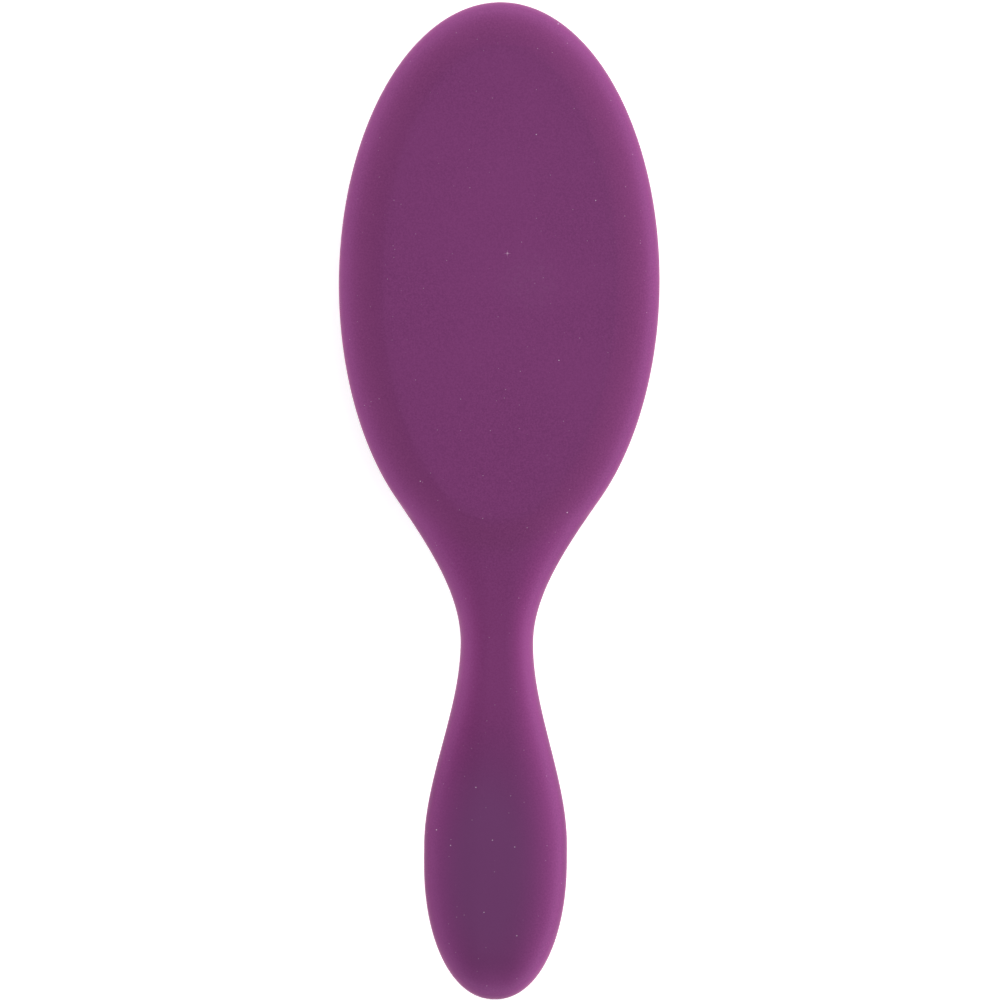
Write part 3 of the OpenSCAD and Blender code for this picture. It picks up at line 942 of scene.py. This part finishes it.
def soft_box(name, place, target, size, power):
    """A square area light of that size in metres, aimed at target."""
    light = bpy.data.lights.new(name, "AREA")
    light.size = size
    light.energy = power
    obj = bpy.data.objects.new(name, light)
    obj.location = place
    obj.rotation_mode = "QUATERNION"
    obj.rotation_quaternion = (Vector(target) - Vector(place)).to_track_quat("-Z", "Y")
    bpy.context.scene.collection.objects.link(obj)


# Strengths of the light tent: of the walls and the strips on the left, the right, at the handle's
# end and at the head, each with the heights between which it fades, and of the band higher up
WALLS = (1.4, 0.8, 0, 2.7)
WALL_FADE = (0.05, 0.6)
STRIPS = (0, 8.3, 6.5, 6)
STRIP_FADE = (0.02, 0.28)
SHOULDER = 0.225
SHOULDER_RISE_FADE = (0.05, 0.45)
SHOULDER_FALL_FADE = (0.6, 0.92)
HORIZON_FADE = (-0.06, -0.02)

# The soft box overhead, in metres
BOX_PLACE = (0.06, 0.1, 0.5)
BOX_TARGET = (0.02, 0.04, 0.03)
BOX_SIZE = 0.24
BOX_POWER = 1.27


def make_light():
    """A light tent: bright low walls and strips round the left, the right, the end and the head,
    a faint band higher up, a dark sky and a soft box overhead."""
    world = bpy.data.worlds.new("studio")
    bpy.context.scene.world = world
    world.use_nodes = True
    tree = world.node_tree
    where = tree.nodes.new("ShaderNodeTexCoord").outputs["Generated"]
    ways = node(tree, "ShaderNodeSeparateXYZ", {0: where})
    across, along, up = ways.outputs
    rise = span(tree, up, *SHOULDER_RISE_FADE)
    strength = calc(tree, "MULTIPLY", rise, span(tree, up, *SHOULDER_FALL_FADE, SHOULDER, 0))
    for (left, right, end, head), fade in ((WALLS, WALL_FADE), (STRIPS, STRIP_FADE)):
        sides = calc(tree, "ADD", span(tree, across, -1, 1, left, right, "LINEAR"),
                     span(tree, along, -1, 1, end, head, "LINEAR"))
        band = calc(tree, "MULTIPLY", sides, span(tree, up, *fade, 1, 0))
        strength = calc(tree, "ADD", strength, band)
    strength = calc(tree, "MULTIPLY", strength, span(tree, up, *HORIZON_FADE))
    sky = tree.nodes["Background"]
    sky.inputs["Color"].default_value = colour(1, 1, 1)
    tree.links.new(strength, sky.inputs["Strength"])
    soft_box("overhead", BOX_PLACE, BOX_TARGET, BOX_SIZE, BOX_POWER)
    bpy.context.scene.view_settings.view_transform = "Standard"


# The photograph's frame: its side and the brush's middle in pixels, a pixel's width on the brush,
# the lens and sensor, and the camera's clipping distances in metres
IMAGE_SIDE = 1000
PIXEL = 0.2257
BRUSH_MIDDLE_PIXEL = (497.8, 500.9)
ROLL_DEG = 0.374
LENS = 200.0
SENSOR = 36.0
CLIP = (0.01, 100)


def make_camera():
    """Straight above the back, with the small roll and offset of the photograph."""
    data = bpy.data.cameras.new("camera")
    data.lens = LENS
    data.sensor_width = SENSOR
    camera = bpy.data.objects.new("camera", data)
    distance = IMAGE_SIDE * PIXEL * LENS / SENSOR
    roll = math.radians(ROLL_DEG)
    right = Vector((math.cos(roll), math.sin(roll), 0))
    up = Vector((-math.sin(roll), math.cos(roll), 0))
    offset = [(IMAGE_SIDE / 2 - pixel) * PIXEL for pixel in BRUSH_MIDDLE_PIXEL]
    place = right * offset[0] - up * offset[1]
    camera.location = (place + Vector((0, 0, JOINT_Z + distance))) * MM
    camera.rotation_euler = (0, 0, roll)
    data.clip_start, data.clip_end = CLIP
    bpy.context.scene.collection.objects.link(camera)
    bpy.context.scene.camera = camera


build()
make_floor()
make_light()
make_camera()
